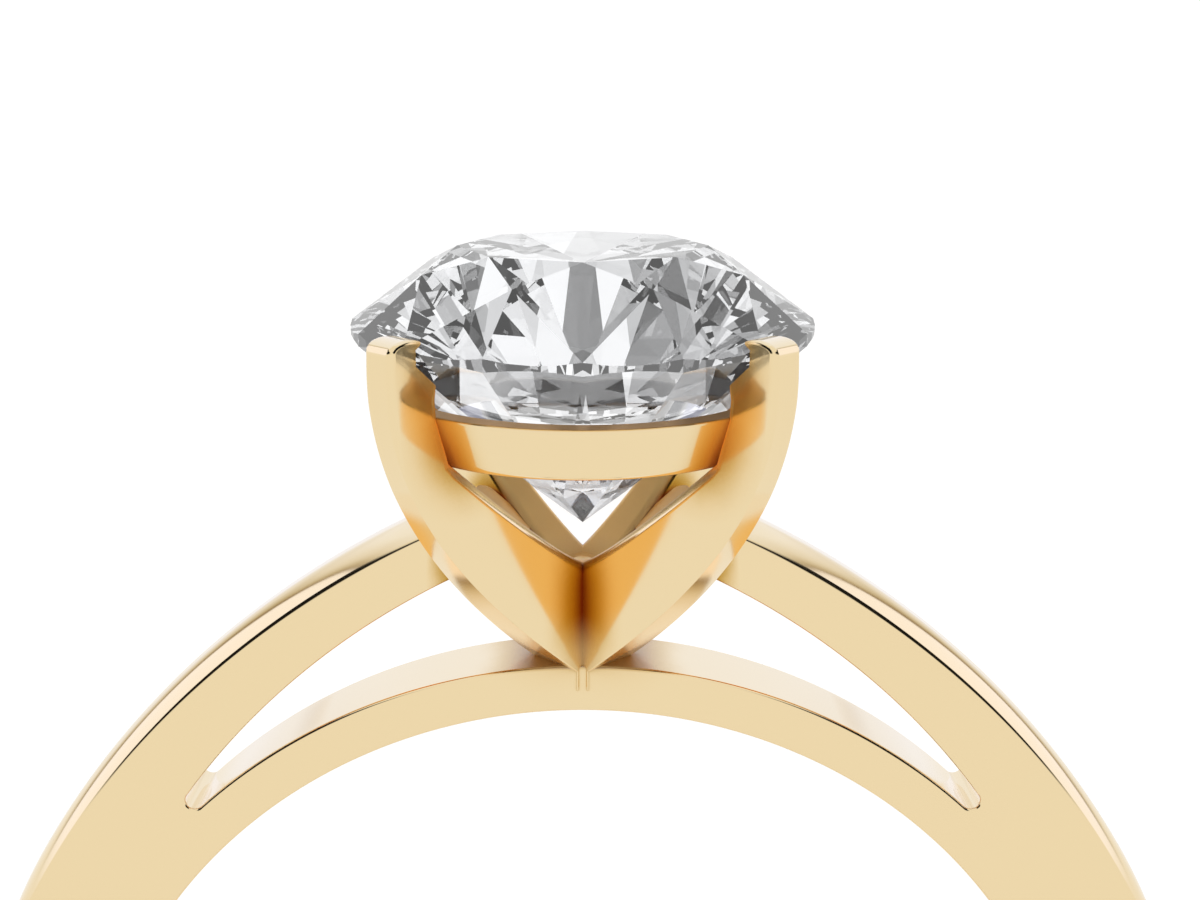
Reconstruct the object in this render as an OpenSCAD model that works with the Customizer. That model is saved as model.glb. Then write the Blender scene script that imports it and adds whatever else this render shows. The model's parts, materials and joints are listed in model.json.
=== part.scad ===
// Solitaire engagement ring: a slim cathedral ring with one round brilliant in four prongs.
// The ring is drawn standing, with the finger hole's centre at 0,0,0, X to the right,
// Y along the finger and Z up to the stone, and is then laid on its side.

/* [Band] */
// Inside diameter of the finger hole
finger_d = 17.3; // [16.9:0.1:17.5]
// Width of the band along the finger
band_w = 1.5; // [1.4:0.05:1.8]
// How far the domed outside stands above the edge of the flat sides
dome_h = 0.3; // [0.15:0.05:0.4]
// Wall of the hoop at the bottom, without the dome
base_wall = 1.7; // [1.4:0.05:2.0]

/* [Shoulders and bridge] */
// Radius of the shoulders' outer edge
shoulder_r = 15.15; // [15.1:0.05:15.3]
// How far the centre of that edge lies past the middle
shoulder_across = 3.92; // [3.9:0.01:4.0]
// How far the centre of that edge lies below the finger hole's centre
shoulder_drop = 2.09; // [2.0:0.01:2.15]
// Wall of the bridge under the head
bridge_wall = 0.8; // [0.6:0.05:0.9]
// Radius of the upper edge of the openings between shoulders and bridge
window_r = 12.38; // [12.3:0.01:12.45]
// How far the centre of that edge lies past the middle
window_across = 3.38; // [3.3:0.01:3.45]
// How far the centre of that edge lies below the finger hole's centre
window_drop = 0.13; // [0.1:0.01:0.2]
// Angle from the top at which the openings' rounded tips are centred
window_tip_angle = 42.9; // [42:0.1:44]

/* [Head] */
// Height of the prong tips above the finger hole's centre
prong_top = 15.2; // [15.15:0.01:15.24]
// Radius of the head at the prongs' outer faces
head_r = 4.15; // [4.1:0.01:4.2]
// Thickness of a prong at its tip
tip_w = 0.58; // [0.5:0.01:0.6]
// Thickness of a prong where it is thinnest, at the height of the gallery rail
prong_w = 0.48; // [0.45:0.01:0.5]
// Thickness of a prong at its foot
foot_w = 0.98; // [0.9:0.01:1.0]
// Outer radius of the gallery rail at its top
rail_r = 3.33; // [3.3:0.01:3.36]
// How much smaller that radius is at the rail's lower edge
rail_draw = 0.33; // [0.3:0.01:0.34]
// Wall of the gallery rail
rail_wall = 0.39; // [0.3:0.01:0.45]
// Height of the gallery rail
rail_h = 0.86; // [0.8:0.01:0.88]

/* [Stone] */
// Diameter of the stone
stone_d = 7.4; // [7.3:0.01:7.45]
// Diameter of the table over the diameter of the stone
table_ratio = 0.54; // [0.52:0.01:0.6]
// Slope of the crown's main facets
crown_angle = 34.5; // [33:0.1:35.5]
// Slope of the pavilion's main facets
pavilion_angle = 41; // [40.5:0.1:41.2]
// Thickness of the girdle where it is thickest
girdle_w = 0.2; // [0.15:0.01:0.25]
// Gap between the stone and its seats
seat_gap = 0.03; // [0.02:0.01:0.05]

/* [Hidden] */
$fn = 96;
gold = [0.93, 0.79, 0.52];
clear = [0.88, 0.91, 0.94];
past = 1;                 // how far a cutter runs past what it cuts
half_w = band_w / 2;
finger_r = finger_d / 2;
bridge_r = finger_r + bridge_wall;

// The hoop's outer circle meets both shoulder arcs from inside, all but tangent to them, so a
// raised centre makes the bottom thinner. It is raised until the bottom has its wall.
hoop_swell = 0.03;        // the hoop crosses the shoulders' arcs by this much
function hoop_radius(rise) = shoulder_r + hoop_swell - norm([shoulder_across, shoulder_drop + rise]);
function rise_for(wall, low = 0, high = 2, step = 0) =
    let (middle = (low + high) / 2)
    step == 24 ? middle
    : hoop_radius(middle) - middle - finger_r > wall ? rise_for(wall, middle, high, step + 1)
    : rise_for(wall, low, middle, step + 1);
hoop_rise = rise_for(base_wall);
hoop_r = hoop_radius(hoop_rise);
tangent_angle = atan2(shoulder_across, shoulder_drop + hoop_rise);
hoop_end_angle = 47;      // the hoop ends inside the shoulders, above the crossing
dome_r = (half_w * half_w + dome_h * dome_h) / (2 * dome_h);

// The shoulders stop at a slope between the prongs, low enough to leave the middle open.
arm_end_z = 10.69;        // where the two slopes would meet over the middle
arm_end_slope = 42;

// The openings' tips: half the opening's width on the ray at the tip angle
tip_ray = [sin(window_tip_angle), cos(window_tip_angle)];
tip_lean = tip_ray[0] * window_across + tip_ray[1] * window_drop;
tip_reach = sqrt(tip_lean * tip_lean + window_r * window_r
                 - window_across * window_across - window_drop * window_drop) - tip_lean;
tip_r = (tip_reach - bridge_r) / 2;
tip_overlap = 0.004;      // the tips' round is this much fuller, so that it isn't tangent

// A prong in its own upright plane: distance from the head's axis, height
prong_turn = 45;
outer_curve = [[head_r, prong_top], [4.2, 14.13], [4.34, 12.34], [0.63, 9.36]];
inner_curve = [[0, 11.06], [0.4, 10.98], [3.0, 13.3]];
foot_z = 9.03;            // the prongs' feet end inside the bridge
seat_reach = 3.5;         // how far in the tip reaches over the girdle
inner_face = [[3.24, 14.06], [3.3, 14.6], [seat_reach, 14.8]];  // up behind the rail to the seat
tip_dome = 0.09;
tip_steps = 3;            // points of the tip's dome on each side of its middle
curve_steps = 20;

// A prong is thicker towards its foot and a little towards its tip. Both depend on the sum of
// distance and height: the flanks open below the first sum, and between the other two.
taper_from = 16.27;
flare_from = 16.9;
flare_to = 18.6;
taper_rate = 0.088;
taper_to = taper_from - (foot_w - prong_w) / taper_rate;
beyond = 20;              // farther out than any part of the head

rail_top = 14.06;

// The stone: eight main facets above and below, and eight tips between each two rows
facet_turn = 360 / 8;
half_turn = facet_turn / 2;
star_ratio = 0.725;       // the star facets' tips, over the stone's radius
low_ratio = 0.22;         // the lower halves' tips, over the stone's radius
stone_r = stone_d / 2;
table_r = stone_r * table_ratio;
girdle_z = 15.02;
girdle_top = girdle_z + girdle_w / 2;
girdle_low = girdle_z - girdle_w / 2;
table_z = girdle_top + (stone_r - table_r) * tan(crown_angle);
culet_z = girdle_low - stone_r * tan(pavilion_angle);
star_r = stone_r * star_ratio;
star_z = table_z - (star_r * cos(half_turn) - table_r) * tan(crown_angle);
low_r = stone_r * low_ratio;
low_z = culet_z + low_r * cos(half_turn) * tan(pavilion_angle);
girdle_sides = 64;        // a multiple of 16
turn_slack = 0.001;       // counts a corner with the facet that starts there

// Laid on its side, the ring rests on the stone's girdle and on the hoop's lower edge.
hoop_low = hoop_rise - hoop_r;
lean = atan((stone_r - half_w) / (girdle_low - hoop_low));
lift = stone_r * cos(lean) - girdle_low * sin(lean);
far_y = table_r * sin(lean) + table_z * cos(lean);
near_y = (hoop_rise - hoop_r - dome_h + dome_r) * cos(lean) - dome_r;

module laid_on_side() {
    translate([0, -(far_y + near_y) / 2, lift])
        rotate([lean - 90, 0, 0])
            children();
}

// Turns a drawing of the front view into a plate across the band
module across_band(width) {
    rotate([90, 0, 0])
        linear_extrude(width, center = true)
            children();
}

// A disc with flat sides and a domed rim, as wide as the band
module domed_disc(radius) {
    rotate([90, 0, 0])
        rotate_extrude() {
            translate([0, -half_w])
                square([radius, band_w]);
            intersection() {
                translate([radius + dome_h - dome_r, 0])
                    circle(dome_r);
                translate([radius - dome_h / 2, -half_w])
                    square([dome_h * 2, band_w]);
            }
        }
}

// Everything above the two rays from the hoop's centre, at an angle from the top
module fan(angle, reach = 30) {
    side = reach * tan(angle);
    polygon([[0, 0], [side, reach], [-side, reach]]);
}

module finger_hole() {
    rotate([90, 0, 0])
        cylinder(r = finger_r, h = band_w + 2 * past, center = true);
}

module shank() {
    difference() {
        translate([0, 0, hoop_rise])
            domed_disc(hoop_r);
        across_band(band_w + 2 * past)
            fan(hoop_end_angle);
        finger_hole();
    }
}

// Both shoulders rise from the hoop and lean towards each other
module shoulders() {
    intersection() {
        translate([-shoulder_across, 0, -shoulder_drop])
            domed_disc(shoulder_r);
        translate([shoulder_across, 0, -shoulder_drop])
            domed_disc(shoulder_r);
        translate([0, 0, hoop_rise])
            across_band(band_w + 2 * past)
                fan(tangent_angle);
    }
}

// The opening between the shoulders and the bridge, in the front view
module window_outline() {
    difference() {
        intersection() {
            translate([-window_across, -window_drop])
                circle(window_r);
            translate([window_across, -window_drop])
                circle(window_r);
            fan(window_tip_angle);
        }
        circle(bridge_r);
    }
    for (side = [-1, 1])
        translate([side * tip_ray[0], tip_ray[1]] * (bridge_r + tip_r))
            circle(tip_r + tip_overlap);
}

// Clears the middle of the head above the shoulders' sloping ends
module arm_ends() {
    across_band(band_w + 2 * past)
        translate([0, arm_end_z])
            fan(90 - arm_end_slope);
}

module shoulders_and_bridge() {
    difference() {
        shoulders();
        finger_hole();
        across_band(band_w + 2 * past)
            window_outline();
        arm_ends();
    }
}

// A point of the Bezier curve through a list of control points
function along(points, t) =
    len(points) == 1 ? points[0]
    : along([for (i = [0:len(points) - 2]) points[i] * (1 - t) + points[i + 1] * t], t);
function curve(points) = [for (i = [0:curve_steps]) along(points, i / curve_steps)];

// The tip's shallow dome, from the outer face in to the end over the girdle
function tip_curve() =
    let (middle = (head_r + seat_reach) / 2, half = (head_r - seat_reach) / 2)
    [for (t = [-1:1 / tip_steps:1]) [middle + half * t, prong_top + tip_dome * (1 - t * t)]];

module prong_outline() {
    polygon(concat(
        tip_curve(),
        curve(outer_curve),
        [[outer_curve[3][0], foot_z], [0, foot_z]],
        curve(inner_curve),
        inner_face
    ));
}

// The thickness of a prong, drawn against the sum of distance and height over root 2
module prong_taper() {
    half = [
        [0, foot_w / 2],
        [taper_to / sqrt(2), foot_w / 2],
        [taper_from / sqrt(2), prong_w / 2],
        [flare_from / sqrt(2), prong_w / 2],
        [flare_to / sqrt(2), tip_w / 2],
        [beyond, tip_w / 2]
    ];
    polygon(concat(half, [for (i = [len(half) - 1:-1:0]) [half[i][0], -half[i][1]]]));
}

module prong() {
    intersection() {
        across_band(foot_w + past)
            prong_outline();
        rotate([0, -45, 0])
            linear_extrude(2 * beyond, center = true)
                prong_taper();
    }
}

module gallery_rail() {
    translate([0, 0, rail_top - rail_h])
        difference() {
            cylinder(r1 = rail_r - rail_draw, r2 = rail_r, h = rail_h);
            translate([0, 0, -past])
                cylinder(r1 = rail_r - rail_wall - rail_draw * (rail_h + past) / rail_h,
                         r2 = rail_r - rail_wall + rail_draw * past / rail_h,
                         h = rail_h + 2 * past);
        }
}

function polar(radius, angle, z) = [radius * cos(angle), radius * sin(angle), z];

// Height at which the plane through three points meets a place in plan
function plane_z(a, b, c, at) =
    let (n = cross(b - a, c - a))
    a[2] - (n[0] * (at[0] - a[0]) + n[1] * (at[1] - a[1])) / n[2];

// Edge of the girdle: each half facet is a plane that the round girdle cuts in a shallow
// scallop, from its two corners on the girdle at the rim's height and its inner tip
function scallop(rim_z, tip_r, tip_z) = [
    for (i = [0:girdle_sides - 1])
        let (
            at = 360 * i / girdle_sides,
            first = half_turn * floor(at / half_turn + turn_slack),
            tip = facet_turn * floor(at / facet_turn + turn_slack) + half_turn,
            here = polar(stone_r, at, 0)
        )
        [here[0], here[1], plane_z(polar(stone_r, first, rim_z), polar(stone_r, first + half_turn, rim_z),
                                   polar(tip_r, tip, tip_z), here)]
];

// The round brilliant cut with its eight-fold symmetry
module brilliant() {
    n = girdle_sides;
    span = n / 16;
    upper = 0;
    lower = n;
    table = 2 * n;
    star = table + 8;
    low = star + 8;
    culet = low + 8;
    points = concat(
        scallop(girdle_top, star_r, star_z),
        scallop(girdle_low, low_r, low_z),
        [for (k = [0:7]) polar(table_r, facet_turn * k, table_z)],
        [for (k = [0:7]) polar(star_r, facet_turn * k + half_turn, star_z)],
        [for (k = [0:7]) polar(low_r, facet_turn * k + half_turn, low_z)],
        [[0, 0, culet_z]]
    );
    faces = concat(
        [[for (k = [7:-1:0]) table + k]],
        [for (k = [0:7]) [table + k, table + (k + 1) % 8, star + k]],
        [for (k = [0:7]) [table + k, star + k, upper + 2 * k * span, star + (k + 7) % 8]],
        [for (h = [0:15]) concat([star + floor(h / 2)],
                                 [for (i = [span:-1:0]) upper + (h * span + i) % n])],
        [for (i = [0:n - 1]) [upper + i, upper + (i + 1) % n, lower + (i + 1) % n, lower + i]],
        [for (h = [0:15]) concat([low + floor(h / 2)],
                                 [for (i = [0:span]) lower + (h * span + i) % n])],
        [for (k = [0:7]) [culet, low + (k + 7) % 8, lower + 2 * k * span, low + k]]
    );
    polyhedron(points, faces);
}

// The room that the turned seats leave for the stone, a little larger than the stone
module seat_room() {
    rotate_extrude()
        polygon([
            [0, culet_z - seat_gap / cos(pavilion_angle)],
            [stone_r + seat_gap, girdle_low - seat_gap],
            [stone_r + seat_gap, girdle_top + seat_gap / 2],
            [table_r + seat_gap, table_z + seat_gap],
            [0, table_z + seat_gap]
        ]);
}

// The cast and soldered gold: one piece of metal
module ring_mount() {
    color(gold)
        laid_on_side()
            difference() {
                union() {
                    shank();
                    shoulders_and_bridge();
                    for (k = [0:3])
                        rotate([0, 0, prong_turn + 90 * k])
                            prong();
                    gallery_rail();
                }
                seat_room();
            }
}

module centre_stone() {
    color(clear)
        laid_on_side()
            brilliant();
}

ring_mount();
centre_stone();
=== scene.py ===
# Solitaire engagement ring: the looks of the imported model, in metres in its own frame.
import json
import bpy
import numpy as np
from mathutils import Matrix, Vector
from mathutils.geometry import delaunay_2d_cdt


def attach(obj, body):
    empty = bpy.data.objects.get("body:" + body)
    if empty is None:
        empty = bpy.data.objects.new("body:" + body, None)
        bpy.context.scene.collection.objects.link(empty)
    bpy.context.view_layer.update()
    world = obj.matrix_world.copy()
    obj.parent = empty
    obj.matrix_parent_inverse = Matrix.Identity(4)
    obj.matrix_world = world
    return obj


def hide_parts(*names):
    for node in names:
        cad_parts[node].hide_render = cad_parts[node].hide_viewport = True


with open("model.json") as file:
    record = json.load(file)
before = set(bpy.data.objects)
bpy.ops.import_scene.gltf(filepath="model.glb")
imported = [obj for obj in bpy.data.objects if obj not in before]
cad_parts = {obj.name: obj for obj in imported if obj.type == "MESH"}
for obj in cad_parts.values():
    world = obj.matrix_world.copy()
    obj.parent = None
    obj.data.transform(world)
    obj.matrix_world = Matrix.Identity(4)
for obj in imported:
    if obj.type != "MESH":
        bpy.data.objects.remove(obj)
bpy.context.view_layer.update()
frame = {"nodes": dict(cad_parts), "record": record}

# The ring as it stands
# The gold is worked out in millimetres on a standing ring: X to the right, Y along the finger away from
# the eye, Z up to the stone, zero at the finger hole's centre. The bore's place and axis then lay it down.
mm = 0.001
hole = next(m for m in frame["record"]["mounts"] if m["name"] == "finger_hole")
finger_r = hole["dims"]["r_mm"]
half_w = hole["dims"]["length_mm"] / 2
away = -Vector(hole["axis"]).normalized()
across = Vector((1, 0, 0))
upright = across.cross(away)
laid = Matrix.Translation(hole["pos_m"]) @ (Matrix((across, away, upright)).transposed() * mm).to_4x4()
laid[3][3] = 1

# Band: shank, shoulders and bridge
# One cast and filed hoop of 18 ct yellow gold. Its sides are flat and its outside is domed; the shoulders
# part from the bridge over the finger, and a long opening with rounded ends is left between them.
base_wall = 1.7
dome = 0.3
side_edge, window_edge, bore_edge = 0.11, 0.06, 0.09
edge_steps, dome_steps = 7, 10
shoulder_r, shoulder_across, shoulder_drop = 15.15, 3.92, 2.09
bridge_r = finger_r + 0.8
window_r, window_across, window_drop = 12.38, 3.38, 0.13
window_tip = 42.9
# the two arms' outlines start this far from the middle, which is cut away afterwards
shoulder_start, window_start = 0.4, 0.3
arm_end_z, arm_end_slope = 10.69, 42
arm_reach, wedge_y = 8.0, 2
band_pitch, tip_pitch = 0.2, 0.03


def add_mesh(name, points, faces):
    """A mesh object at the origin from an array of points and a list of faces."""
    mesh = bpy.data.meshes.new(name)
    mesh.from_pydata(np.asarray(points).tolist(), [], faces)
    obj = bpy.data.objects.new(name, mesh)
    bpy.context.scene.collection.objects.link(obj)
    return obj


def grid_faces(rows, columns, closed=False):
    """Faces of a grid of points whose last row meets its first; closed says that its columns do too."""
    i = np.arange(rows)[:, None]
    j = np.arange(columns if closed else columns - 1)[None, :]
    i2, j2 = (i + 1) % rows, (j + 1) % columns
    corners = i * columns + j, i * columns + j2, i2 * columns + j2, i2 * columns + j
    return np.stack(corners, axis=-1).reshape(-1, 4)


def arc(centre, radius, start, end, pitch):
    """Points of an arc in the front view: centre + radius * (sin a, cos a), with a counted from the top."""
    steps = max(3, round(abs(np.radians(end - start)) * radius / pitch))
    angle = np.radians(np.linspace(start, end, steps))
    return np.asarray(centre) + radius * np.column_stack([np.sin(angle), np.cos(angle)])


def mirrored(points):
    """The same points to the left of the middle, in the opposite order."""
    return points[::-1] * [-1, 1]


def inside(loop, points):
    """Which points lie inside a loop: a ray to their right crosses the loop an odd number of times."""
    a, b = loop, np.roll(loop, -1, axis=0)
    x, z = points[:, :1], points[:, 1:]
    spans = (a[:, 1] > z) != (b[:, 1] > z)
    rise = np.where(b[:, 1] == a[:, 1], 1, b[:, 1] - a[:, 1])
    crossed = spans & (x < a[:, 0] + (z - a[:, 1]) * (b[:, 0] - a[:, 0]) / rise)
    return np.sum(crossed, axis=1) % 2 == 1


def rounded(loop, radius, steps=5):
    """A rim whose two edges are quarter circles: in by r(1 - sin a) and below the side by r(1 - cos a)."""
    quarter = np.linspace(0, np.pi / 2, steps)
    radius = np.broadcast_to(radius, len(loop))[:, None]
    inset = radius * (1 - np.sin(quarter))
    below = radius * (1 - np.cos(quarter))
    return loop, *(np.concatenate([part, part[:, ::-1]], axis=1) for part in (inset, below))


def slab(name, rims, half, extra=np.empty((0, 2)), margin=0.12):
    """A closed slab in the front view, with Y across it. A rim is a loop with the metal on the right of its
    travel and, for each of the profile's points, how far that lies in from the loop and below the slab's
    side: Y = side * (half(place) - below). The two sides are filled between the rims, through those extra
    points that are farther than the margin from the first rim."""
    points, faces, ends = [], [], []
    count = 0
    for loop, inset, below in rims:
        travel = np.roll(loop, -1, axis=0) - np.roll(loop, 1, axis=0)
        inward = np.column_stack([travel[:, 1], -travel[:, 0]])
        inward /= np.linalg.norm(travel, axis=1, keepdims=True)
        place = loop[:, None, :] + inward[:, None, :] * inset[..., None]
        rows, columns = place.shape[:2]
        side = np.where(np.arange(columns) < columns / 2, 1, -1)
        y = side * (half(place) - below)
        points.append(np.stack([place[..., 0], y, place[..., 1]], axis=-1).reshape(-1, 3))
        faces += (grid_faces(rows, columns) + count).tolist()
        ends.append((place[:, 0], count + columns * np.arange(rows), columns - 1))
        count += rows * columns
    off = np.linalg.norm(extra[:, None] - ends[0][0][None], axis=2)
    extra = extra[inside(ends[0][0], extra) & np.all(off > margin, axis=1)]
    flat = np.concatenate([e[0] for e in ends] + [extra])
    edges, start = [], 0
    for outline, *_ in ends:
        index = np.arange(len(outline))
        edges += np.column_stack([index + start, np.roll(index, -1) + start]).tolist()
        start += len(outline)
    _, _, triangles, origin, _, _ = delaunay_2d_cdt([Vector(p) for p in flat], edges, [], 0, 1e-7)
    triangles = np.array([o[0] for o in origin])[np.array(triangles)]
    middle = flat[triangles].mean(axis=1)
    keep = inside(ends[0][0], middle)
    for outline, *_ in ends[1:]:
        keep &= ~inside(outline, middle)
    triangles = triangles[keep]
    first, second = (flat[triangles[:, k]] - flat[triangles[:, 0]] for k in (1, 2))
    clockwise = first[:, 0] * second[:, 1] - first[:, 1] * second[:, 0] < 0
    triangles[clockwise] = triangles[clockwise][:, ::-1]
    for side in (1, -1):
        y = side * half(extra)
        index = [e[1] + (0 if side == 1 else e[2]) for e in ends] + [count + np.arange(len(extra))]
        faces += np.concatenate(index)[triangles[:, ::-side]].tolist()
        points.append(np.column_stack([extra[:, 0], y, extra[:, 1]]))
        count += len(extra)
    return add_mesh(name, np.concatenate(points), faces)


# the hoop's outside is a circle tangent to both shoulders' circles, so the distance of their centres is the
# difference of their radii: hypot(across, drop + rise) = spare - rise, which gives the rise
spare = shoulder_r - finger_r - base_wall
hoop_rise = round((spare ** 2 - shoulder_across ** 2 - shoulder_drop ** 2) / (2 * (spare + shoulder_drop)), 5)
hoop_r = finger_r + base_wall + hoop_rise
tangent = np.degrees(np.arctan2(shoulder_across, shoulder_drop + hoop_rise))
crest = np.degrees(np.arcsin((shoulder_across + shoulder_start) / (shoulder_r + dome)))
shoulder = arc((-shoulder_across, -shoulder_drop), shoulder_r + dome, crest, tangent, band_pitch)
hoop = arc((0, hoop_rise), hoop_r + dome, tangent, 360 - tangent, band_pitch)
outer_loop = np.concatenate([shoulder[:-1], hoop[:-1], mirrored(shoulder)])

# the outer rim's profile is a rounded edge that runs on, tangent, into one shallow arc across the band
dome_r = (dome ** 2 - side_edge ** 2 + (half_w - side_edge) ** 2) / (2 * (dome - side_edge))
meet = np.arcsin((half_w - side_edge) / (dome_r - side_edge))
edge_turn = np.linspace(np.pi / 2, meet, edge_steps)
dome_turn = np.linspace(meet, 0, dome_steps, endpoint=False)[1:]
inset = np.concatenate([dome - side_edge * np.cos(edge_turn), dome_r - dome_r * np.cos(dome_turn)])
below = np.concatenate([side_edge - side_edge * np.sin(edge_turn), half_w - dome_r * np.sin(dome_turn)])
outer_rim = [np.tile(np.concatenate([half, half[::-1]]), (len(outer_loop), 1)) for half in (inset, below)]

finger_loop = arc((0, 0), finger_r, 360, 0, band_pitch)[:-1]

# the opening's outline, right of the middle: along its upper edge, round its tip and back on the bridge
ray = np.array([np.sin(np.radians(window_tip)), np.cos(np.radians(window_tip))])
offset = ray @ [window_across, window_drop]
tip_far = np.sqrt(offset ** 2 + window_r ** 2 - window_across ** 2 - window_drop ** 2) - offset
tip_r = (tip_far - bridge_r) / 2
tip_from = ray * tip_far + [window_across, window_drop]
upper_from = np.degrees(np.arcsin((window_across + window_start) / window_r))
upper_to = np.degrees(np.arctan2(*tip_from))
upper = arc((-window_across, -window_drop), window_r, upper_from, upper_to, band_pitch)
tip = arc(ray * (bridge_r + tip_r), tip_r, window_tip, window_tip + 180, tip_pitch)
lower = arc((0, 0), bridge_r, window_tip, 0, band_pitch)
window_half = np.concatenate([upper[:-1], tip[:-1], lower])
window_loop = np.concatenate([window_half, mirrored(window_half[:-1])])[::-1]

band = slab("cast_gold_mount", [(outer_loop, *outer_rim), rounded(window_loop, window_edge),
                                rounded(finger_loop, bore_edge)],
            lambda place: np.full(place.shape[:-1], half_w))
arm_rise = arm_reach * np.tan(np.radians(arm_end_slope))
wedge = add_mesh("wedge", [(x, y, arm_end_z + z) for y in (-wedge_y, wedge_y)
                           for x, z in ((0, 0), (arm_reach, arm_rise), (-arm_reach, arm_rise))],
                 [(0, 1, 2), (3, 5, 4), (0, 3, 4, 1), (1, 4, 5, 2), (2, 5, 3, 0)])

# Prongs and gallery rail
# Two strips of the same gold, bent up to four prongs and crossed under the stone. They are thickest at the
# foot, with filed inner edges and domed tips, and a turned rail is soldered between them.
prong_top, tip_dome, head_r = 15.2, 0.09, 4.18
foot_r, foot_z, foot_bend_z = 0.606, 9.03, 9.36
outer_points = [[head_r, prong_top], [4.23, 14.13], [4.34, 12.34], [foot_r, foot_bend_z]]
inner_points = [[0, 11.06], [0.4, 10.98], [3.0, 13.3]]
seat_reach = 3.5
inner_face = [[3.12, 13.7], [3.24, 14.06], [3.27, 14.33], [3.28, 14.45]]
under_seat = [[3.3, 14.6], [seat_reach, 14.8], [seat_reach, prong_top - 0.1]]
prong_w, foot_w, taper_from, taper_rate, taper_ease = 0.48, 0.98, 16.27, 0.088, 0.7
tip_w, flare_from, flare_to = 0.62, 16.9, 18.6
crisp_edge, inner_edge, face_edge, tip_edge, corner_edge = 0.02, 0.19, 0.15, 0.08, 0.1
ridge_edge, ridge_from, ridge_to = 0.11, 12.9, 14.2
corner = 0.07
outer_steps, inner_steps, tip_steps, corner_steps = 70, 50, 13, 6
# points inside the strips' sides, which keep their triangles small and their taper true
lattice_r, lattice_low, lattice_high, lattice_pitch = 4.3, 9.1, 15.2, 0.2
rail_r, rail_draw, rail_wall, rail_top, rail_h = 3.33, 0.33, 0.39, 14.06, 0.86
# how far the rail's corners are rounded: top inside, top outside, bottom outside, bottom inside
rail_corner_sizes = 0.04, 0.06, 0.15, 0.05
stone_r, girdle_low, girdle_top, seat_gap = 3.7, 14.92, 15.12, 0.03
seat_in, crown_slope, pavilion_slope = 2.4, 34.6, 41
crease = 24
prong_turns = 45, -45


def curve(points, steps):
    """Points of the Bezier curve of a list of control points, by repeated blending of neighbours."""
    t = np.linspace(0, 1, steps)[:, None, None]
    level = np.broadcast_to(np.asarray(points, float), (steps, len(points), 2))
    while level.shape[1] > 1:
        level = level[:, :-1] * (1 - t) + level[:, 1:] * t
    return level[:, 0]


def eased(value, low, high):
    """Rises smoothly from 0 at low to 1 at high: 3 t squared minus 2 t cubed."""
    t = np.clip((value - low) / (high - low), 0, 1)
    return t * t * (3 - 2 * t)


def prong_half(place):
    """Half a prong's thickness: w + rate * s, with s the soft positive part of (from - distance - height),
    and the tip's flare added where distance + height passes from its start to its end."""
    run = np.abs(place[..., 0]) + place[..., 1]
    short = taper_from - run
    soft = (short + np.sqrt(short ** 2 + taper_ease ** 2)) / 2
    flare = (tip_w - prong_w) * eased(run, flare_from, flare_to)
    return np.minimum(prong_w + taper_rate * soft + flare, foot_w) / 2


def turned(name, profile, steps=192):
    """A ring turned about the head's axis: the profile's (r, z) becomes (r cos a, r sin a, z) all round."""
    angle = np.linspace(0, 2 * np.pi, steps, endpoint=False)[:, None]
    r, z = np.asarray(profile, float).T
    points = np.stack([r * np.cos(angle), r * np.sin(angle), z + 0 * angle], axis=-1)
    return add_mesh(name, points.reshape(-1, 3), grid_faces(steps, len(r), closed=True).tolist())


def joined(first, *others):
    """The first object with each of the others added to it or cut from it, which are then gone."""
    for other, operation in others:
        cut = first.modifiers.new(other.name, "BOOLEAN")
        cut.solver, cut.operation, cut.object = "MANIFOLD", operation, other
    made = bpy.data.meshes.new_from_object(first.evaluated_get(bpy.context.evaluated_depsgraph_get()))
    first.modifiers.clear()
    first.data = made
    for other, _ in others:
        bpy.data.objects.remove(other)
    return first


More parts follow.
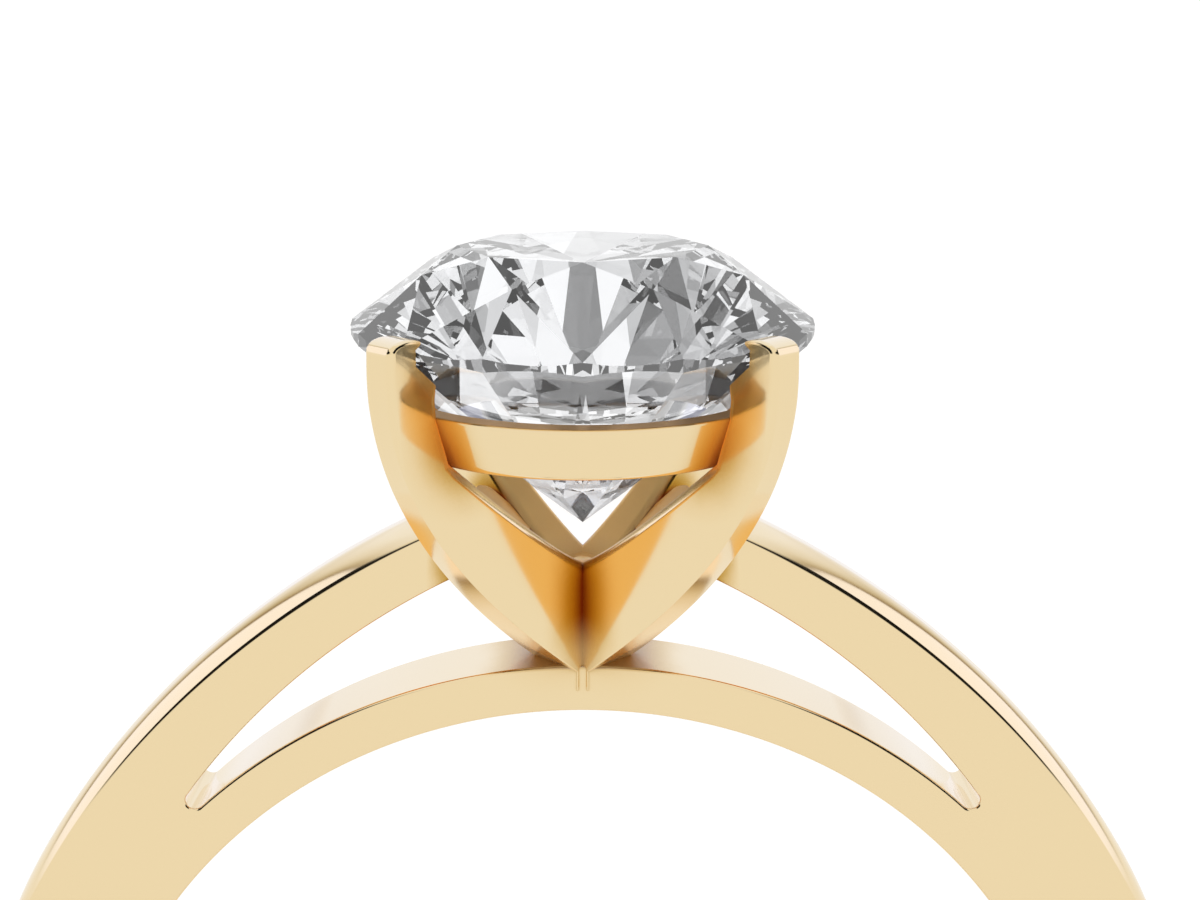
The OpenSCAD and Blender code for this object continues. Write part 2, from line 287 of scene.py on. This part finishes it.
def shade(mesh, crease, turns, half, step=0.001, off_side=0.0006, lined_up=0.96):
    """Smooth shading, kept flat on flat sides: a corner's normal is the sum of area squared times normal over
    the faces round its vertex that turn less than the crease angle from the corner's own face. Where a turned
    strip's side Y = side * half(place) passes within off_side of the corner and the face is lined up with it,
    the normal is that side's own: side * Y less half's slope, taken over a step to each side.
    Returns the corners' places and normals."""
    corner_count = len(mesh.loops)
    vertex = np.empty(corner_count, np.int32)
    mesh.loops.foreach_get("vertex_index", vertex)
    size = np.empty(len(mesh.polygons), np.int32)
    area = np.empty(len(mesh.polygons))
    normal = np.empty(len(mesh.polygons) * 3)
    mesh.polygons.foreach_get("loop_total", size)
    mesh.polygons.foreach_get("area", area)
    mesh.polygons.foreach_get("normal", normal)
    face = np.repeat(np.arange(len(size)), size)
    normal = normal.reshape(-1, 3)[face]
    weight = area[face, None] ** 2
    order = np.argsort(vertex, kind="stable")
    count = np.bincount(vertex)
    start = np.concatenate([[0], np.cumsum(count)[:-1]])
    own = np.repeat(np.arange(corner_count), count[vertex])
    within = np.arange(len(own)) - np.repeat(np.cumsum(count[vertex]) - count[vertex], count[vertex])
    other = order[start[vertex[own]] + within]
    near = np.sum(normal[own] * normal[other], axis=1, keepdims=True) > np.cos(np.radians(crease))
    parts = near * weight[other] * normal[other]
    total = np.column_stack([np.bincount(own, parts[:, k], corner_count) for k in range(3)])
    total /= np.linalg.norm(total, axis=1, keepdims=True)
    point = np.empty(len(mesh.vertices) * 3)
    mesh.vertices.foreach_get("co", point)
    point = point.reshape(-1, 3)[vertex]
    for turn in np.radians(turns):
        back = np.array([[np.cos(turn), -np.sin(turn), 0], [np.sin(turn), np.cos(turn), 0], [0, 0, 1]])
        local = point @ back
        at = local[:, [0, 2]]
        slope = [(half(at + move) - half(at - move)) / (2 * step) for move in ([step, 0], [0, step])]
        exact = np.column_stack([-slope[0], np.sign(local[:, 1]), -slope[1]])
        exact = exact / np.linalg.norm(exact, axis=1, keepdims=True) @ back.T
        on_side = np.abs(np.abs(local[:, 1]) - half(at)) < off_side
        on_side &= np.sum(exact * normal, axis=1) > lined_up
        total[on_side] = exact[on_side]
    mesh.polygons.foreach_set("use_smooth", np.ones(len(size), bool))
    mesh.normals_split_custom_set(total.tolist())
    return point, total


# a strip's outline, from the middle of its inner edge out and down: each stretch with its edge's radius
middle_r, half_r = (head_r + seat_reach) / 2, (head_r - seat_reach) / 2
tip_x = np.linspace(-1, 1, tip_steps)
tip_top = np.column_stack([middle_r + half_r * tip_x, prong_top + tip_dome * (1 - tip_x ** 2)])
outer_run = curve(outer_points, outer_steps)
outer_run = outer_run[outer_run[:, 1] < prong_top - corner]
tip_top = tip_top[tip_top[:, 0] < head_r - corner]
tip_corner = curve([tip_top[-1], [head_r, prong_top], outer_run[0]], corner_steps)[1:-1]
ridge = crisp_edge + (ridge_edge - crisp_edge) * eased(outer_run[:, 1], ridge_from, ridge_to)
stretches = [(curve(inner_points, inner_steps), inner_edge), (inner_face, face_edge), (under_seat, crisp_edge),
             (tip_top, tip_edge), (tip_corner, corner_edge), (outer_run, ridge),
             ([[foot_r, foot_z], [0, foot_z]], crisp_edge)]
prong_half_loop = np.concatenate([np.asarray(p, float) for p, _ in stretches])
prong_half_edge = np.concatenate([np.broadcast_to(r, len(p)) for p, r in stretches])
prong_loop = np.concatenate([prong_half_loop, mirrored(prong_half_loop[1:-1])])
prong_edge = np.concatenate([prong_half_edge, prong_half_edge[-2:0:-1]])
prong_edge = (np.roll(prong_edge, 1) + prong_edge + np.roll(prong_edge, -1)) / 3
lattice = np.stack(np.meshgrid(np.arange(-lattice_r, lattice_r, lattice_pitch),
                               np.arange(lattice_low, lattice_high, lattice_pitch)), axis=-1).reshape(-1, 2)
prongs = []
for turn in prong_turns:
    pair = slab("prongs", [rounded(prong_loop, prong_edge)], prong_half, lattice)
    pair.data.transform(Matrix.Rotation(np.radians(turn), 4, "Z"))
    prongs.append(pair)

rail_low = rail_top - rail_h
rail_corners = np.array([(rail_r - rail_wall, rail_top), (rail_r, rail_top), (rail_r - rail_draw, rail_low),
                         (rail_r - rail_draw - rail_wall, rail_low)])
rail_profile = []
for k, size in enumerate(rail_corner_sizes):
    point = rail_corners[k]
    before, after = rail_corners[k - 1] - point, rail_corners[(k + 1) % 4] - point
    rail_profile.append(curve([point + before / np.linalg.norm(before) * size, point,
                               point + after / np.linalg.norm(after) * size], corner_steps))
rail = turned("rail", np.concatenate(rail_profile))

# the seats are cut to the stone's own slopes with a little air round it
seat_out = stone_r + seat_gap
seat_low, seat_high = girdle_low - seat_gap, girdle_top + seat_gap / 2
seat = turned("seat", [(seat_in, seat_high + (seat_out - seat_in) * np.tan(np.radians(crown_slope))),
                       (seat_out, seat_high), (seat_out, seat_low),
                       (seat_in, seat_low - (seat_out - seat_in) * np.tan(np.radians(pavilion_slope)))])

mount = joined(band, (wedge, "DIFFERENCE"), (prongs[0], "UNION"), (prongs[1], "UNION"), (rail, "UNION"),
               (seat, "DIFFERENCE"))
spot, facing = shade(mount.data, crease, prong_turns, prong_half)

# the attribute inner_side is 1 on the faces inside the head that look at its axis
looks_in, inside_z, inside_r, tiny = (0.0, 0.35), (10.9, 11.4), (4.2, 3.9), 1e-9
axis_off = np.hypot(spot[:, 0], spot[:, 1]) + tiny
inward = -np.sum(spot[:, :2] * facing[:, :2], axis=1) / axis_off
inner_side = eased(inward, *looks_in) * eased(spot[:, 2], *inside_z) * eased(axis_off, *inside_r)
mount.data.attributes.new("inner_side", "FLOAT", "CORNER").data.foreach_set("value", inner_side)
mount.data.transform(laid)


def linear(code):
    """An sRGB hex colour as linear RGBA."""
    srgb = np.array([int(code[i:i + 2], 16) for i in (0, 2, 4)]) / 255
    return (*np.where(srgb <= 0.04045, srgb / 12.92, ((srgb + 0.055) / 1.055) ** 2.4), 1.0)


def node(tree, kind, settings=None, stops=(), **inputs):
    """Adds a node. Inputs are named by socket, with _ for a space or at and a number, and are given a value
    or a socket to link. A colour ramp's stops are pairs of position and colour, from the lowest up."""
    made = tree.nodes.new(kind)
    for name, value in (settings or {}).items():
        setattr(made, name, value)
    for k, (position, colour) in enumerate(stops):
        stop = made.color_ramp.elements[k] if k < 2 else made.color_ramp.elements.new(position)
        stop.position, stop.color = position, colour
    for name, value in inputs.items():
        socket = made.inputs[int(name[2:]) if name.startswith("at") else name.replace("_", " ")]
        if isinstance(value, bpy.types.NodeSocket):
            tree.links.new(value, socket)
        else:
            socket.default_value = value
    return made


smooth = {"interpolation_type": "SMOOTHSTEP"}
multiply, multiply_add = {"operation": "MULTIPLY"}, {"operation": "MULTIPLY_ADD"}
mix, tint = {"data_type": "RGBA"}, {"data_type": "RGBA", "blend_type": "MULTIPLY"}

# Cast 18 ct yellow gold, filed and polished: a pale, clear mirror with faint wiping marks, duller in corners
# that no polishing wheel reaches and satin inside the head. Painted on it are a warmer colour where it mirrors
# gold, brown painted shade in its corners, and a painted warm tint on the head's inner faces and by the seats.
# its colour as the eye sees it, and the painted reflection colour for light that comes to it from other gold
# or from the stone
first_bounce, painted_reflection_gold, painted_reflection_high = "EDD7AB", "F8E2B8", "FDCF81"
painted_reflection_band, painted_reflection_in_stone = "FFFAF2", "F4F2EE"
corner_depth = 0.9 * mm
# how open a spot is to the air, and the brown painted shade that it is multiplied by
painted_corner_shades = ((0.5, "591900"), (0.58, "7C310A"), (0.67, "AE8127"), (0.76, "C5A445"), (0.845, "DEC789"),
                 (0.91, "F6EBD7"), (0.97, "FFFFFF"))
# painted tints: a warm painted reflection on the head's inner faces, and painted warm shade by the seats
painted_inner_warmth, painted_seat_shade = (1.12, 1.0, 0.72, 1), (1.15, 0.86, 0.42, 1)
# how much of the painted corner shade is left by the seats, on the band and on the inner faces
painted_shade_by_seats, painted_shade_on_band, painted_shade_spared_inside = 0.4, 0.5, 0.75
# where a look sets in and where it is complete: millimetres to the side, millimetres up from the finger
# hole's centre, and how open the spot is
head_side, prongs_up, under_rail_up, seats_up = (5, 4.2), (9.6, 10.4), (14.5, 12.7), (12.8, 13.6)
seat_closed, nook_closed = (0.95, 0.6), (0.9, 0.5)
# wiping marks about a millimetre long, coarser than real ones so that they show
wiping_scale, wiping_range = 900.0, (0.3, 0.7)
polish_low, polish_high, nook_dull, inner_dull = 0.085, 0.115, 0.3, 0.3

gold = bpy.data.materials.new("polished 18 ct yellow gold")
gold.use_nodes = True
tree = gold.node_tree
surface = tree.nodes["Principled BSDF"]
surface.inputs["Metallic"].default_value = 1
place = node(tree, "ShaderNodeTexCoord").outputs["Object"]
path = node(tree, "ShaderNodeLightPath").outputs

# the head lies near the middle, and its prongs stand free above the bridge
tall = node(tree, "ShaderNodeVectorMath", {"operation": "DOT_PRODUCT"}, at0=place,
            at1=upright).outputs["Value"]
level = upright @ Vector(hole["pos_m"])
aside = node(tree, "ShaderNodeMath", {"operation": "ABSOLUTE"},
             at0=node(tree, "ShaderNodeSeparateXYZ", Vector=place).outputs[0])
head = node(tree, "ShaderNodeMapRange", smooth, Value=aside.outputs[0], From_Min=head_side[0] * mm,
            From_Max=head_side[1] * mm).outputs[0]
high = node(tree, "ShaderNodeMapRange", smooth, Value=tall, From_Min=level + prongs_up[0] * mm,
            From_Max=level + prongs_up[1] * mm).outputs[0]
prongs_only = node(tree, "ShaderNodeMath", multiply, at0=head, at1=high).outputs[0]

# the painted reflection colour, where gold or the stone shows gold: warmest among the prongs, palest on the
# band
again = node(tree, "ShaderNodeMix", mix, at0=high, at6=linear(painted_reflection_gold), at7=linear(painted_reflection_high))
again = node(tree, "ShaderNodeMix", mix, at0=head, at6=linear(painted_reflection_band), at7=again.outputs[2])
again = node(tree, "ShaderNodeMix", mix, at0=path["Is Singular Ray"], at6=again.outputs[2],
             at7=linear(painted_reflection_in_stone))

# painted shade: the brown of the corners, by how closed they are, deepest between the prongs and less round
# the seats and on the inner faces
open_to = node(tree, "ShaderNodeAmbientOcclusion", {"samples": 16}, Distance=corner_depth).outputs["AO"]
painted_shade_brown = node(tree, "ShaderNodeValToRGB", stops=[(at, linear(code)) for at, code in painted_corner_shades],
             Fac=open_to)
under_rail = node(tree, "ShaderNodeMapRange", smooth, Value=tall, From_Min=level + under_rail_up[0] * mm,
                  From_Max=level + under_rail_up[1] * mm, To_Min=painted_shade_by_seats, To_Max=1.0).outputs[0]
painted_shade_mask = node(tree, "ShaderNodeMapRange", Value=prongs_only, To_Min=painted_shade_on_band, To_Max=1.0).outputs[0]
painted_shade_mask = node(tree, "ShaderNodeMath", multiply, at0=painted_shade_mask, at1=under_rail).outputs[0]
painted_shade_mask = node(tree, "ShaderNodeMath", multiply, at0=painted_shade_mask, at1=head).outputs[0]
inner = node(tree, "ShaderNodeAttribute", {"attribute_name": "inner_side"}).outputs["Fac"]
spared = node(tree, "ShaderNodeMath", multiply_add, at0=inner, at1=-painted_shade_spared_inside, at2=1.0).outputs[0]
painted_shade_mask = node(tree, "ShaderNodeMath", multiply, at0=painted_shade_mask, at1=spared).outputs[0]
shaded_gold = node(tree, "ShaderNodeMix", tint, at0=painted_shade_mask, at6=linear(first_bounce), at7=painted_shade_brown.outputs[0])
shaded_gold = node(tree, "ShaderNodeMix", tint, at0=inner, at6=shaded_gold.outputs[2], at7=painted_inner_warmth)
# painted warm shade on the spots by the seats that are closed to the air
closed = node(tree, "ShaderNodeMapRange", smooth, Value=open_to, From_Min=seat_closed[0],
              From_Max=seat_closed[1]).outputs[0]
painted_seat_mask = node(tree, "ShaderNodeMapRange", smooth, Value=tall, From_Min=level + seats_up[0] * mm,
               From_Max=level + seats_up[1] * mm).outputs[0]
painted_seat_mask = node(tree, "ShaderNodeMath", multiply, at0=painted_seat_mask, at1=closed).outputs[0]
shaded_gold = node(tree, "ShaderNodeMix", tint, at0=painted_seat_mask, at6=shaded_gold.outputs[2], at7=painted_seat_shade)
# the eye sees the gold with its painted shade and tints; light from gold or the stone takes the painted
# reflection
tone = node(tree, "ShaderNodeMix", mix, at0=path["Is Camera Ray"], at6=again.outputs[2],
            at7=shaded_gold.outputs[2])
tree.links.new(tone.outputs[2], surface.inputs["Base Color"])

# the wiping marks make the mirror a little uneven, and nooks and inner faces are duller
wiping = node(tree, "ShaderNodeTexNoise", Vector=place, Scale=wiping_scale, Detail=3.0, Roughness=0.6)
polish = node(tree, "ShaderNodeMapRange", Value=wiping.outputs[0], From_Min=wiping_range[0],
              From_Max=wiping_range[1], To_Min=polish_low, To_Max=polish_high)
nook = node(tree, "ShaderNodeMapRange", Value=open_to, From_Min=nook_closed[0], From_Max=nook_closed[1],
            To_Min=0.0, To_Max=nook_dull)
nook = node(tree, "ShaderNodeMath", multiply, at0=nook.outputs[0], at1=head)
dull = node(tree, "ShaderNodeMath", multiply_add, at0=inner, at1=inner_dull, at2=nook.outputs[0])
dull = node(tree, "ShaderNodeMath", {"operation": "ADD"}, at0=dull.outputs[0], at1=polish.outputs[0])
tree.links.new(dull.outputs[0], surface.inputs["Roughness"])
mount.visible_transmission = False
mount.data.materials.clear()
mount.data.materials.append(gold)
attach(mount, "root")
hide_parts("ring_mount")

# Centre stone
# A round brilliant-cut diamond of 1.5 carats, polished on every facet, so that its facets are flat and crisp.
# It is colourless and bends light more than any glass, which gives it sharp patches of black and white.
diamond = bpy.data.materials.new("brilliant-cut diamond")
diamond.use_nodes = True
surface = diamond.node_tree.nodes["Principled BSDF"]
surface.inputs["Base Color"].default_value = linear("FCFDFF")
surface.inputs["Transmission Weight"].default_value = 1
surface.inputs["IOR"].default_value = 2.417
surface.inputs["Roughness"].default_value = 0
stone = frame["nodes"]["centre_stone"]
stone.data.materials.clear()
stone.data.materials.append(diamond)

# Table
# A wide matt white sheet, lit a little from below as a light table is, so that the shadow on it is faint. It
# lies a hair under the ring.
table_half, table_z = 2, -0.00001
table_corners = (-1, -1), (1, -1), (1, 1), (-1, 1)
floor = add_mesh("table_top", [(a * table_half, b * table_half, table_z) for a, b in table_corners],
                 [(0, 1, 2, 3)])
paper = bpy.data.materials.new("matt white acrylic")
paper.use_nodes = True
surface = paper.node_tree.nodes["Principled BSDF"]
surface.inputs["Roughness"].default_value = 1
surface.inputs["Specular IOR Level"].default_value = 0
surface.inputs["Base Color"].default_value = linear("7C7C7C")
surface.inputs["Emission Color"].default_value = linear("F7F7F7")
surface.inputs["Emission Strength"].default_value = 1
floor.visible_transmission = False
floor.visible_glossy = False
floor.data.materials.append(paper)

# Light
# Soft white light from all over, as in a tent, with a black flag on the stone's side that draws the thin dark
# lines along the edges of the gold. Grey panels, which only the stone shows, give it its pattern.
white, black = (1, 1, 1, 1), (0.01, 0.01, 0.01, 1)
# the flag's bounds, as parts of a direction of length 1: it starts at y = 0, later at the sides, and ends
# where the slant times y passes x; it lies between its low and its top in z, and the low one dips as y grows
soft_side, flag_slant = 0.06, 0.95
bend_x, bend = (0.85, 1.0), -0.12
dip_y, dip = (0.5, 0.7), 0.3
flag_low, flag_top = (0.12, 0.2), (0.93, 0.8)
# the shaded cloth near the horizon: the place of its rim in x, from y, and the stretch of x over which it is
# shaded, which is narrower by a factor where y is large
rim_y, rim_span, rim_rate, rim_start = (0.35, -0.15), 0.5, 0.9, 0.7
narrow_y, narrow_by, shade_run = (0.42, 0.68), 3.0, (-0.35, 0.1)
cloth_z, cloth_y = (0.12, 0.04), (-0.1, 0.04)
cloth_shades = (
    (0.0, (1.05, 1.13, 1.38, 1)), (0.456, (0.93, 0.94, 1.0, 1)), (0.611, (0.77, 0.74, 0.68, 1)),
    (0.7, (0.57, 0.5, 0.38, 1)), (0.744, (0.34, 0.27, 0.18, 1)), (0.778, (0.34, 0.27, 0.18, 1)),
    (0.822, (1.18, 1.22, 1.5, 1)))
# the panels: how many there are to a length of 1, which draw of them, and the grey at each share of them
panels_per_one, panels_draw = 4.6, 0.57
greys = (0.0, 0.0), (0.1, 0.0), (0.16, 0.15), (0.23, 0.5), (0.35, 0.78), (0.6, 1.0), (1.0, 1.2)
left_x, left_grey = (-0.15, -0.5), 0.5
strip_x, strip_z, strip_grey = (0.05, 0.08), (-0.8, -0.7), 0.2
beyond_y, beyond_grey = (0.5, 0.8), 0.5

world = bpy.data.worlds.new("light tent")
bpy.context.scene.world = world
world.use_nodes = True
tree = world.node_tree
tree.nodes.clear()
direction = node(tree, "ShaderNodeTexCoord").outputs["Generated"]
parts = node(tree, "ShaderNodeSeparateXYZ", Vector=direction)
x, y, z = parts.outputs
aside = node(tree, "ShaderNodeMath", {"operation": "ABSOLUTE"}, at0=x).outputs[0]

# the flag is the part of the sky that is wide, on the stone's side and raised, and not overhead
turned_away = node(tree, "ShaderNodeMath", multiply_add, at0=y, at1=-flag_slant, at2=aside)
wide = node(tree, "ShaderNodeMapRange", smooth, Value=turned_away.outputs[0], From_Min=-soft_side,
            From_Max=soft_side)
edge_on = node(tree, "ShaderNodeMapRange", Value=aside, From_Min=bend_x[0], From_Max=bend_x[1], To_Min=0.0,
               To_Max=bend)
along = node(tree, "ShaderNodeMath", {"operation": "ADD"}, at0=y, at1=edge_on.outputs[0])
stone_side = node(tree, "ShaderNodeMapRange", smooth, Value=along.outputs[0], From_Min=-soft_side,
                  From_Max=soft_side)
dipped = node(tree, "ShaderNodeMapRange", Value=y, From_Min=dip_y[0], From_Max=dip_y[1], To_Min=0.0,
              To_Max=dip)
above = node(tree, "ShaderNodeMath", {"operation": "ADD"}, at0=z, at1=dipped.outputs[0]).outputs[0]
raised = node(tree, "ShaderNodeMapRange", smooth, Value=above, From_Min=flag_low[0], From_Max=flag_low[1])
flag = node(tree, "ShaderNodeMath", multiply, at0=wide.outputs[0], at1=stone_side.outputs[0])
flag = node(tree, "ShaderNodeMath", multiply, at0=flag.outputs[0], at1=raised.outputs[0])
overhead = node(tree, "ShaderNodeMapRange", smooth, Value=z, From_Min=flag_top[0], From_Max=flag_top[1])
flag = node(tree, "ShaderNodeMath", multiply, at0=flag.outputs[0], at1=overhead.outputs[0])

# the cloth darkens and warms towards a curved rim and is bright again past it, which gives the gold its
# shaded edges; the rim moves out with the square of the way that y has fallen
rim = node(tree, "ShaderNodeMapRange", Value=y, From_Min=rim_y[0], From_Max=rim_y[1], To_Min=0.0,
           To_Max=rim_span)
rim = node(tree, "ShaderNodeMath", multiply, at0=rim.outputs[0], at1=rim.outputs[0])
rim = node(tree, "ShaderNodeMath", multiply_add, at0=rim.outputs[0], at1=rim_rate, at2=rim_start)
past_rim = node(tree, "ShaderNodeMath", {"operation": "SUBTRACT"}, at0=aside, at1=rim.outputs[0])
narrow = node(tree, "ShaderNodeMapRange", Value=y, From_Min=narrow_y[0], From_Max=narrow_y[1], To_Min=1.0,
              To_Max=narrow_by)
past_rim = node(tree, "ShaderNodeMath", multiply, at0=past_rim.outputs[0], at1=narrow.outputs[0])
sweep = node(tree, "ShaderNodeMapRange", Value=past_rim.outputs[0], From_Min=shade_run[0],
             From_Max=shade_run[1])
below = node(tree, "ShaderNodeValToRGB", stops=cloth_shades, Fac=sweep.outputs[0])
low = node(tree, "ShaderNodeMapRange", smooth, Value=z, From_Min=cloth_z[0], From_Max=cloth_z[1])
near_stone = node(tree, "ShaderNodeMapRange", smooth, Value=y, From_Min=cloth_y[0], From_Max=cloth_y[1])
under = node(tree, "ShaderNodeMath", multiply, at0=low.outputs[0], at1=near_stone.outputs[0])
cloth = node(tree, "ShaderNodeMix", mix, at0=under.outputs[0], at6=white, at7=below.outputs[0])
tent = node(tree, "ShaderNodeMix", mix, at0=flag.outputs[0], at6=cloth.outputs[2], at7=black)

# the panels are irregular cells, each of one grey, darker to the left, with a dark strip straight below
cells = node(tree, "ShaderNodeTexVoronoi", {"voronoi_dimensions": "4D"}, Vector=direction, W=panels_draw,
             Scale=panels_per_one, Randomness=1.0)
cell_tone = node(tree, "ShaderNodeSeparateXYZ", Vector=cells.outputs["Color"])
card = node(tree, "ShaderNodeValToRGB", stops=[(at, (grey, grey, grey, 1)) for at, grey in greys],
            Fac=cell_tone.outputs["X"])
right = node(tree, "ShaderNodeMapRange", smooth, Value=x, From_Min=left_x[0], From_Max=left_x[1], To_Min=1.0,
             To_Max=left_grey)
strip = node(tree, "ShaderNodeMapRange", smooth, Value=aside, From_Min=strip_x[0], From_Max=strip_x[1],
             To_Min=strip_grey, To_Max=1.0)
down = node(tree, "ShaderNodeMapRange", smooth, Value=z, From_Min=strip_z[0], From_Max=strip_z[1])
strip = node(tree, "ShaderNodeMath", {"operation": "MAXIMUM"}, at0=strip.outputs[0], at1=down.outputs[0])
strip = node(tree, "ShaderNodeMath", multiply, at0=strip.outputs[0], at1=right.outputs[0])
panel = node(tree, "ShaderNodeVectorMath", {"operation": "SCALE"}, Vector=card.outputs[0],
             Scale=strip.outputs[0])
beyond = node(tree, "ShaderNodeMapRange", smooth, Value=y, From_Min=beyond_y[0], From_Max=beyond_y[1],
              To_Min=1.0, To_Max=beyond_grey)

# what is seen through the stone is the panels, what its facets mirror is a plain sky, dimmer where y is
# large, all other light is the tent's, and the backdrop is white
ray_kind = node(tree, "ShaderNodeLightPath")
through = node(tree, "ShaderNodeMix", mix, at0=ray_kind.outputs["Is Transmission Ray"], at6=beyond.outputs[0],
               at7=panel.outputs[0])
around = node(tree, "ShaderNodeMix", mix, at0=ray_kind.outputs["Is Singular Ray"], at6=tent.outputs[2],
              at7=through.outputs[2])
plain = node(tree, "ShaderNodeMix", mix, at0=ray_kind.outputs["Is Camera Ray"], at6=around.outputs[2],
             at7=white)
light = node(tree, "ShaderNodeBackground", Color=plain.outputs[2], Strength=1.0)
node(tree, "ShaderNodeOutputWorld", Surface=light.outputs[0])

# Camera
# It looks at the standing ring from 14.2 degrees above the finger, and so down at the laid ring.
height = np.radians(14.172)
look = Vector((0, np.cos(height), -np.sin(height)))
rise = Vector((0, np.sin(height), np.cos(height)))
eye = laid @ Vector((0, -26.47, 19.62))
turn = laid.to_3x3().normalized()
lens = bpy.data.cameras.new("camera")
lens.lens = 50
lens.sensor_width = 36
lens.shift_x = 0.0144
lens.clip_start = mm
camera = bpy.data.objects.new("camera", lens)
facing_back = Matrix((turn @ across, turn @ rise, turn @ -look)).transposed().to_4x4()
camera.matrix_world = Matrix.Translation(eye) @ facing_back
bpy.context.scene.collection.objects.link(camera)
bpy.context.scene.camera = camera
bpy.context.scene.view_settings.view_transform = "Standard"
bpy.context.scene.cycles.glossy_bounces = 8
bpy.context.scene.cycles.transmission_bounces = 16
bpy.context.scene.cycles.max_bounces = 20
